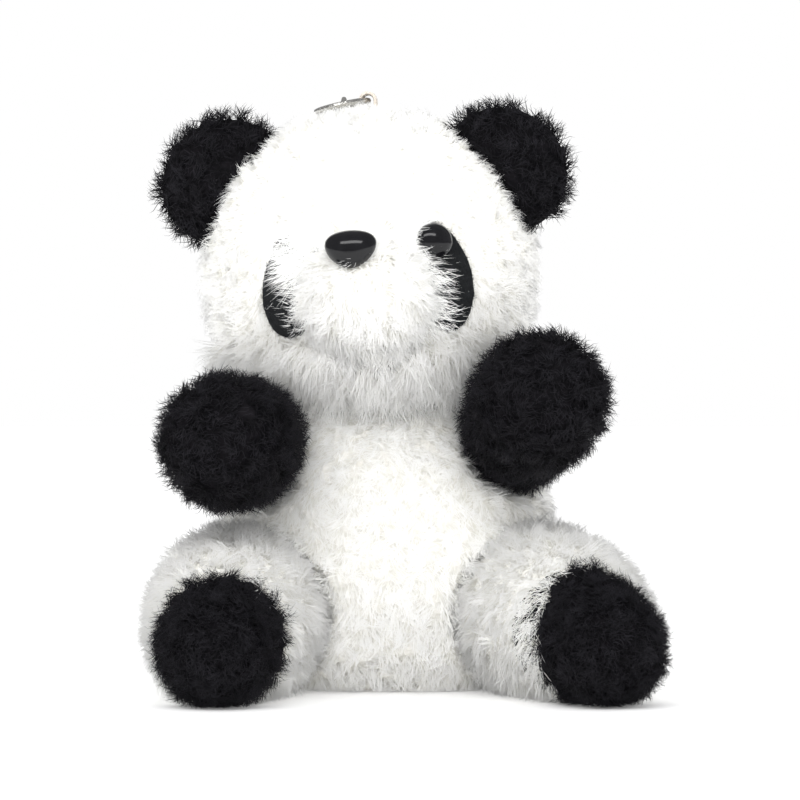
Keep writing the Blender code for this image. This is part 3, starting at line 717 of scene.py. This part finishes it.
# Cheeks: standing pile between the muzzle and the patches, which falls over their inner halves
CHEEK = dict(WHITE)
CHEEK.update({"length": 5.0 * MM, "lean": 42.0, "tousle": 0.35, "droop": 0.4})
CHEEK.update({"spacing": 1.15 * MM, "drift": (1.0, -0.25)})
BROW = dict(CHEEK)
BROW.update({"length": 6.4 * MM, "lean": 33.0, "droop": 0.6, "spacing": 0.85 * MM, "fibres": 30})
LID = dict(BROW)
LID.update({"length": 6.2 * MM, "lean": 38.0, "drift": (-0.1, -1.0), "spacing": 0.75 * MM})


def face_coat(name, side, style, across, upward, seed, scale=1.0):
    """Pile on one side of the nose, in a box given across and upward from the head's middle.

    The style's drift says how far the locks run outward and upward.
    """
    rng = np.random.default_rng(seed)
    at, out = surfaces["head"].scatter(style["spacing"], rng)
    local = from_head(at)
    aside = local[:, 0] * side
    chosen = (aside > across[0]) & (aside < across[1]) & (local[:, 1] < 0)
    chosen &= (local[:, 2] > upward[0]) & (local[:, 2] < upward[1])
    chosen[chosen] = ~surfaces["muzzle"].near(at[chosen], -2.5 * MM)
    for eye in eyes:
        chosen[chosen] = ~eye.near(at[chosen], 0.3 * MM)
    at, out = at[chosen], out[chosen]
    drift = np.array([side * style["drift"][0], 0.0, style["drift"][1]])
    flow = np.broadcast_to(drift, at.shape)
    coat(name, "head", "white_pile", at, out, flow, style, white_pile, seed, scale * np.ones(len(at)))


face_coat("cheek_pile_left", -1, CHEEK, (5.0, 10.4), (-14.5, -3.4), 15)
face_coat("cheek_pile_right", 1, CHEEK, (5.0, 12.6), (-14.5, -3.4), 16)
face_coat("brow_pile_left", -1, BROW, (5.0, 11.0), (-4.0, 3.4), 17, 1.2)
face_coat("brow_pile_right", 1, BROW, (5.0, 9.4), (-3.4, 3.0), 18, 1.0)
face_coat("lid_pile_left", -1, LID, (8.6, 15.5), (3.2, 6.6), 19)

# Chin: long pile that hangs over the neck
CHIN = dict(WHITE)
CHIN.update({"length": 7.4 * MM, "lean": 10.0, "tousle": 0.8})
at, out = surfaces["head"].scatter(CHIN_SPACING, np.random.default_rng(14))
local = from_head(at)
chin = (local[:, 2] < -16.0) & (local[:, 1] < 6.0) & (out[:, 2] > -0.9)
at, out = at[chin], out[chin]
flow = np.broadcast_to(DOWN, at.shape)
coat("chin_pile", "head", "white_pile", at, out, flow, CHIN, white_pile, 14)

# Muzzle
blocked = [(nose_surface, 0.5 * MM), (surfaces["head"], 0.0)]
at, out = grown("muzzle", MUZZLE_SPACING, 2, blocked)
flow = unit(at - nose_at) + 0.35 * DOWN
MUZZLE = dict(WHITE)
MUZZLE.update({"length": 3.8 * MM})
coat("muzzle_pile", "head", "white_pile", at, out, flow, MUZZLE, white_pile, 12)

# Body
blocked = [(surfaces["head"], -1.6 * MM)] + [(surfaces[key], -1.0 * MM) for key in LIMBS]
at, out = grown("body", WHITE_SPACING, 3, blocked)
flow = np.tile(DOWN, (len(at), 1)) + 0.15 * out
scale = np.interp(at[:, 2] / MM, (3.0, 12.0, 44.0, 50.0), (1.0, 1.1, 1.1, 1.4))
coat("body_pile", "torso", "white_pile", at, out, flow, WHITE, white_pile, 13, scale)

# Arms
for number, side in enumerate(("left", "right")):
    at, out = grown(f"arm_{side}", BLACK_SPACING, 20 + number, [(surfaces["body"], 0.0)])
    flow = np.tile(np.array([0.0, -0.8, -0.6]), (len(at), 1))
    args = (at, out, flow, BLACK, black_pile, 30 + number)
    coat(f"arm_pile_{side}", f"arm_{side}", "black_pile", *args)

# Legs and feet
FOOT = dict(BLACK)
FOOT.update({"length": 3.1 * MM, "tousle": 1.4, "gather": 0.86})
FOOT.update({"fibres": 30, "radius": 0.07 * MM})
# On each leg: where the white pile begins to lap over the foot's inner side, and how far
FOOT_INNER = {"left": (-1.0, 0.0), "right": (32.5 * MM, 6.0 * MM)}
LEG = dict(WHITE)
LEG.update({"length": 4.2 * MM, "lean": 34.0})
for number, side in enumerate(("left", "right")):
    at, out = grown(f"leg_{side}", WHITE_SPACING, 40 + number, [(surfaces["body"], -1.6 * MM)])
    flow = np.tile(np.array([0.0, -0.8, -0.5]), (len(at), 1))
    inward = np.interp(FOOT_INNER[side][0] - at[:, 0], (0.0, 6.0 * MM), (0.0, FOOT_INNER[side][1]))
    foot = at[:, 1] < ANKLE[side] - 1.0 * MM - inward
    args = (at[~foot], out[~foot], flow[~foot], LEG, white_pile, 50 + number)
    coat(f"leg_pile_{side}", f"leg_{side}", "white_pile", *args)
    args = (at[foot], out[foot], flow[foot], FOOT, black_pile, 60 + number)
    coat(f"foot_pile_{side}", f"leg_{side}", "black_pile", *args)

# Ears
for number, side in enumerate(("left", "right")):
    at, out = grown(f"ear_{side}", BLACK_SPACING, 70 + number, [(surfaces["head"], 0.0)])
    flow = np.tile(np.array([0.0, 0.0, 1.0]), (len(at), 1)) + 0.5 * unit(at - HEAD_CENTRE)
    args = (at, out, flow, BLACK, black_pile, 80 + number)
    coat(f"ear_pile_{side}", "head", "black_pile", *args)

for key, thing in forms.items():
    body = {"muzzle": "head", "body": "torso", "ear_left": "head", "ear_right": "head"}.get(key, key)
    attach(thing, body)


# ---------------------------------------------------------------- eyes, nose, patches and ribbon


def aim(direction):
    """A rotation that takes +Z to direction and keeps +X level, as the CAD's does."""
    up = Vector(direction).normalized()
    side = Vector((1, 0, 0))
    across = (side - up * side.dot(up)).normalized()
    return Matrix((across, up.cross(across), up)).transposed()


HEAD_SIZE = (30.0, 27.0, 25.8)
HEAD_LOWER_DEPTH = 28.6


def on_head(x, z):
    """A point on the front of the head, and the way the head faces there, in millimetres."""
    depth = HEAD_SIZE[2] if z > 0 else HEAD_LOWER_DEPTH
    y = -HEAD_SIZE[1] * math.sqrt(1.0 - (x / HEAD_SIZE[0]) ** 2 - (z / depth) ** 2)
    facing = Vector((x / HEAD_SIZE[0] ** 2, y / HEAD_SIZE[1] ** 2, z / depth**2)).normalized()
    return Vector((x, y, z)), facing


def head_place(at, facing):
    """The matrix for a piece given by a place and a facing in the head's frame."""
    turn = (HEAD_TURN @ aim(facing)).to_4x4()
    return Matrix.Translation(Vector(in_head(*at))) @ turn


def lathe(name, outline, segments, material):
    """A closed shape turned about Z from (radius, height) points, both ends on the axis."""
    bm = bmesh.new()
    rings = []
    for radius, height in outline[1:-1]:
        turns = [2 * math.pi * k / segments for k in range(segments)]
        rings.append(
            [bm.verts.new((radius * math.cos(a), radius * math.sin(a), height)) for a in turns]
        )
    top = bm.verts.new((0, 0, outline[0][1]))
    bottom = bm.verts.new((0, 0, outline[-1][1]))
    for k in range(segments):
        j = (k + 1) % segments
        bm.faces.new((top, rings[0][k], rings[0][j]))
        bm.faces.new((bottom, rings[-1][j], rings[-1][k]))
        for above, below in zip(rings, rings[1:]):
            bm.faces.new((above[k], below[k], below[j], above[j]))
    mesh = bpy.data.meshes.new(name)
    bm.to_mesh(mesh)
    bm.free()
    mesh.shade_smooth()
    mesh.set_sharp_from_angle(angle=math.radians(50))
    return new_object(name, mesh, material)


# The eye's turned outline, in millimetres
EYE_RADIUS = 3.4
EYE_DOME = 2.5
EYE_SEAT = 1.9
EYE_RIM = 0.5
SHANK = 1.1
SHANK_END = -6.2
RIDGE_PITCH = 0.8
RIDGE_DEPTH = 0.12


def eye_outline():
    """A domed button with a rolled rim, on a ribbed shank."""
    points = []
    for k in range(15):
        a = math.radians(90 * k / 14)
        height = EYE_SEAT + EYE_RIM + EYE_DOME * math.cos(a)
        points.append((EYE_RADIUS * math.sin(a), height))
    for k in range(1, 6):
        a = math.radians(90 * k / 5)
        inward = EYE_RIM * (1 - math.cos(a))
        points.append((EYE_RADIUS - inward, EYE_SEAT + EYE_RIM * (1 - math.sin(a))))
    points.append((SHANK, EYE_SEAT))
    height = EYE_SEAT - RIDGE_PITCH
    while height > SHANK_END + RIDGE_PITCH:
        for step, cut in enumerate((0.0, RIDGE_DEPTH, RIDGE_DEPTH, 0.0)):
            points.append((SHANK - cut, height - step * RIDGE_PITCH / 4))
        height -= RIDGE_PITCH
    points += [(SHANK, SHANK_END), (0.0, SHANK_END)]
    return [(radius * MM, height * MM) for radius, height in points]


# Where each eye sits, in millimetres across and up from the middle of the head
EYE_ASIDE = 12.4
EYE_UP = 0.3
# How far each shank's pull has drawn its eye into the face
EYE_SUNK = {"left": 2.2 * MM, "right": 0.5 * MM}
for side, sign in (("left", -1), ("right", 1)):
    eye = lathe(f"glossy_eye_{side}", eye_outline(), 48, gloss)
    sunk = Matrix.Translation((0.0, 0.0, -EYE_SUNK[side]))
    eye.matrix_world = head_place(*on_head(sign * EYE_ASIDE, EYE_UP)) @ sunk
    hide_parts(f"eye_{side}")
    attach(eye, "head")

# The nose's width, height and dome, and its place on the muzzle, in millimetres
NOSE_SIZE = (9.0, 7.4, 2.9)
NOSE_SEAT = 1.15
NOSE_TAPER = 0.22
NOSE_FLAT_TOP = 0.14
NOSE_FLAT_BACK = 0.25
GROOVE_DEPTH = 0.05
GROOVE_WIDTH = 0.10
STALK_GAP = 0.4
NOSE_LEAN = math.radians(18.0)
NOSE_FACING = (-0.10, -math.cos(NOSE_LEAN), math.sin(NOSE_LEAN))


def nose_mesh():
    """A rounded triangle, broad at the top, with a soft groove down the middle of its front."""
    bm = bmesh.new()
    bmesh.ops.create_uvsphere(bm, u_segments=72, v_segments=36, radius=1.0)
    for vert in bm.verts:
        x, y, z = vert.co
        front = max(0.0, z) ** 2
        low = max(0.0, -y - 0.1)
        groove = GROOVE_DEPTH * front * low * math.exp(-((x / GROOVE_WIDTH) ** 2))
        taper = 1.0 + NOSE_TAPER * y
        flat_top = 1.0 - NOSE_FLAT_TOP * max(0.0, y)
        base = 1.0 if z > 0 else NOSE_FLAT_BACK
        vert.co.x = x * taper * NOSE_SIZE[0] / 2
        vert.co.y = y * flat_top * NOSE_SIZE[1] / 2
        vert.co.z = (z * base - groove) * NOSE_SIZE[2] + NOSE_SEAT
    length = NOSE_SEAT - SHANK_END - STALK_GAP
    stalk = bmesh.ops.create_cone(
        bm, cap_ends=True, segments=32, radius1=SHANK, radius2=SHANK, depth=length
    )
    middle = (NOSE_SEAT + SHANK_END - STALK_GAP) / 2
    bmesh.ops.translate(bm, vec=(0, 0, middle), verts=stalk["verts"])
    bmesh.ops.scale(bm, vec=(MM, MM, MM), verts=bm.verts)
    mesh = bpy.data.meshes.new("glossy_nose")
    bm.to_mesh(mesh)
    bm.free()
    mesh.shade_smooth()
    return mesh


snout = new_object("glossy_nose", nose_mesh(), gloss)
snout.matrix_world = head_place(NOSE_PLACE, NOSE_FACING)
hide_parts("nose")
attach(snout, "head")

FUZZ = dict(BLACK)
FUZZ.update(
    {
        "fibres": 4,
        "length": 0.8 * MM,
        "lean": 62.0,
        "spread": 0.3 * MM,
        "gather": 0.2,
        "curl": 0.1 * MM,
        "radius": 0.03 * MM,
        "sunk": 0.05 * MM,
        "rings": [0.0, 0.5],
    }
)


# How far round the head each patch is drawn in towards the nose
PATCH_TURN = {"left": math.radians(4.6), "right": 0.0}


def felt_patch(side):
    """A pressed felt oval, softened at its edge and uneven from its matted fibres."""
    mesh = nodes[f"eye_patch_{side}"].data.copy()
    mesh.materials.clear()
    centre = Matrix.Translation(HEAD_CENTRE)
    mesh.transform(centre @ Matrix.Rotation(PATCH_TURN[side], 4, "Z") @ centre.inverted())
    made = new_object(f"felt_patch_{side}", mesh, felt)
    remesh = made.modifiers.new("remesh", "REMESH")
    remesh.mode = "VOXEL"
    remesh.voxel_size = 0.25 * MM
    relax = made.modifiers.new("relax", "SMOOTH")
    relax.iterations = 4
    texture = bpy.data.textures.new(f"matting_{side}", "CLOUDS")
    texture.noise_scale = 0.9 * MM
    uneven = made.modifiers.new("uneven", "DISPLACE")
    uneven.texture = texture
    uneven.strength = 0.12 * MM
    apply_modifiers(made)
    give(made, felt)
    made.data.shade_smooth()
    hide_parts(f"eye_patch_{side}")
    return made


for number, side in enumerate(("left", "right")):
    patch = felt_patch(side)
    rng = np.random.default_rng(90 + number)
    at, out = Surface(patch).scatter(FUZZ_SPACING, rng)
    front = out[:, 1] < 0.1
    at, out = at[front], out[front]
    flow = rng.normal(size=at.shape)
    args = (at, out, flow, FUZZ, felt, 92 + number)
    coat(f"felt_fuzz_{side}", "head", "black_felt", *args)
    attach(patch, "head")

# The hang loop, in millimetres: its place on the crown, its fold and its woven ribs
LOOP_PLACE = (0.8, 3.0)
FOLD_HEIGHT = 2.3
FOLD_RADIUS = 1.0
RIBBON = 0.7
RIBBON_WIDTH = 4.0
RIBBON_COLUMNS = 12
RIB_PITCH = 0.36
RIB_DEPTH = 0.05
STEPS_PER_RIB = 6
SEWN_IN = 0.42
THIN_EDGE = 0.55


def fold_point(s, leg, middle):
    """The ribbon's centre line and its outward direction, at a distance along the fold."""
    arch = math.pi * middle
    if s < leg:
        return Vector((middle, 0, s - leg)), Vector((1, 0, 0))
    if s > leg + arch:
        return Vector((-middle, 0, leg + arch - s)), Vector((-1, 0, 0))
    a = (s - leg) / middle
    out = Vector((math.cos(a), 0, math.sin(a)))
    return out * middle, out


def ribbon_mesh():
    """A ribbon folded into a loop, with a rib for each weft cord and a finer edge."""
    middle = FOLD_RADIUS + RIBBON / 2
    leg = FOLD_HEIGHT - SEWN_IN
    total = 2 * leg + math.pi * middle
    count = STEPS_PER_RIB * int(total / RIB_PITCH)
    bm = bmesh.new()
    rows = []
    for k in range(count + 1):
        s = total * k / count
        at, out = fold_point(s, leg, middle)
        rib = RIB_DEPTH * math.cos(2 * math.pi * s / RIB_PITCH)
        outer = []
        inner = []
        for j in range(RIBBON_COLUMNS + 1):
            y = RIBBON_WIDTH * (j / RIBBON_COLUMNS - 0.5)
            edge = 1.0 if 0 < j < RIBBON_COLUMNS else THIN_EDGE
            half = (RIBBON / 2 - RIB_DEPTH + rib) * edge
            outer.append(bm.verts.new(at + out * half + Vector((0, y, 0))))
            inner.append(bm.verts.new(at - out * half + Vector((0, y, 0))))
        rows.append(outer + inner[::-1])
    around = len(rows[0])
    for low, high in zip(rows, rows[1:]):
        for j in range(around):
            i = (j + 1) % around
            bm.faces.new((low[j], low[i], high[i], high[j]))
    bm.faces.new(rows[0])
    bm.faces.new(rows[-1][::-1])
    bmesh.ops.recalc_face_normals(bm, faces=bm.faces)
    bmesh.ops.scale(bm, vec=(MM, MM, MM), verts=bm.verts)
    mesh = bpy.data.meshes.new("ribbon_loop")
    bm.to_mesh(mesh)
    bm.free()
    mesh.shade_smooth()
    mesh.set_sharp_from_angle(angle=math.radians(60))
    return mesh


def crown_height(x, y):
    """How high the top of the head is above its centre, over a point."""
    return HEAD_SIZE[2] * math.sqrt(1.0 - (x / HEAD_SIZE[0]) ** 2 - (y / HEAD_SIZE[1]) ** 2)


ribbon_loop = new_object("ribbon_loop", ribbon_mesh(), grosgrain)
fold_at = (*LOOP_PLACE, crown_height(*LOOP_PLACE) + FOLD_HEIGHT)
ribbon_loop.matrix_world = Matrix.Translation(Vector(in_head(*fold_at))) @ HEAD_TURN.to_4x4()
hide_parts("hang_loop")
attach(ribbon_loop, "head")


# ---------------------------------------------------------------- floor, light and camera

bm = bmesh.new()
bmesh.ops.create_grid(bm, x_segments=1, y_segments=1, size=3.0)
floor_mesh = bpy.data.meshes.new("floor")
bm.to_mesh(floor_mesh)
bm.free()
floor_look = Nodes("floor_white")
floor_look.set(Roughness=0.9, Base_Color=(0.95, 0.95, 0.95, 1.0))
floor_look.set(Emission_Color=(1.0, 1.0, 1.0, 1.0), Emission_Strength=0.15)
floor = new_object("floor", floor_mesh, floor_look.material)
floor.location = (0, 0, -0.0001)


def studio_world():
    """A white room, brighter overhead, that looks darker in reflections and plain white to the camera.
    """
    world = bpy.data.worlds.new("studio")
    world.use_nodes = True
    tree = world.node_tree
    place = tree.nodes.new("ShaderNodeTexCoord")
    parts = tree.nodes.new("ShaderNodeSeparateXYZ")
    tree.links.new(place.outputs["Generated"], parts.inputs[0])
    height = tree.nodes.new("ShaderNodeValToRGB")
    stops = ((0.0, 0.92), (0.12, 0.96), (0.45, 1.04), (1.0, 1.12))
    while len(height.color_ramp.elements) < len(stops):
        height.color_ramp.elements.new(0.5)
    for element, (position, level) in zip(height.color_ramp.elements, stops):
        element.position = position
        element.color = (level, level, level, 1.0)
    tree.links.new(parts.outputs["Z"], height.inputs[0])
    path = tree.nodes.new("ShaderNodeLightPath")
    lit = tree.nodes["Background"]
    tree.links.new(height.outputs[0], lit.inputs["Color"])
    output = lit.outputs[0]
    for ray, level in (("Is Glossy Ray", 0.30), ("Is Camera Ray", 1.0)):
        plain = tree.nodes.new("ShaderNodeBackground")
        plain.inputs["Color"].default_value = (level, level, level, 1.0)
        choose = tree.nodes.new("ShaderNodeMixShader")
        tree.links.new(path.outputs[ray], choose.inputs[0])
        tree.links.new(output, choose.inputs[1])
        tree.links.new(plain.outputs[0], choose.inputs[2])
        output = choose.outputs[0]
    tree.links.new(output, tree.nodes["World Output"].inputs["Surface"])
    return world


bpy.context.scene.world = studio_world()


def lamp(name, at, target, width, height, power):
    """A soft rectangular light."""
    data = bpy.data.lights.new(name, "AREA")
    data.shape = "RECTANGLE"
    data.size = width
    data.size_y = height
    data.energy = power
    made = bpy.data.objects.new(name, data)
    bpy.context.scene.collection.objects.link(made)
    made.location = at
    made.rotation_euler = (Vector(target) - Vector(at)).to_track_quat("-Z", "Y").to_euler()
    return made


MIDDLE = (0.0, 0.0, 0.05)
lamp("key", (-0.08, -0.52, 0.50), MIDDLE, 0.80, 0.14, 2.2)
for name, x, power in (("fill_left", -0.70, 1.1), ("fill_right", 0.70, 1.2)):
    fill = lamp(name, (x, -0.50, 0.12), MIDDLE, 0.35, 0.5, power)
    fill.visible_glossy = False

CAMERA_DISTANCE = 0.70
CAMERA_RISE = math.radians(0.5)
AIM = Vector((2.6, 0.0, 52.4)) * MM
SENSOR = 36.0
VIEW_WIDTH = 0.1472
camera_data = bpy.data.cameras.new("camera")
camera_data.sensor_width = SENSOR
camera_data.lens = SENSOR * CAMERA_DISTANCE / VIEW_WIDTH
camera_data.clip_start = 0.01
camera = bpy.data.objects.new("camera", camera_data)
bpy.context.scene.collection.objects.link(camera)
back = Vector((0.0, -math.cos(CAMERA_RISE), math.sin(CAMERA_RISE)))
camera.location = AIM + back * CAMERA_DISTANCE
camera.rotation_euler = (-back).to_track_quat("-Z", "Y").to_euler()
bpy.context.scene.camera = camera
bpy.context.scene.view_settings.view_transform = "Standard"
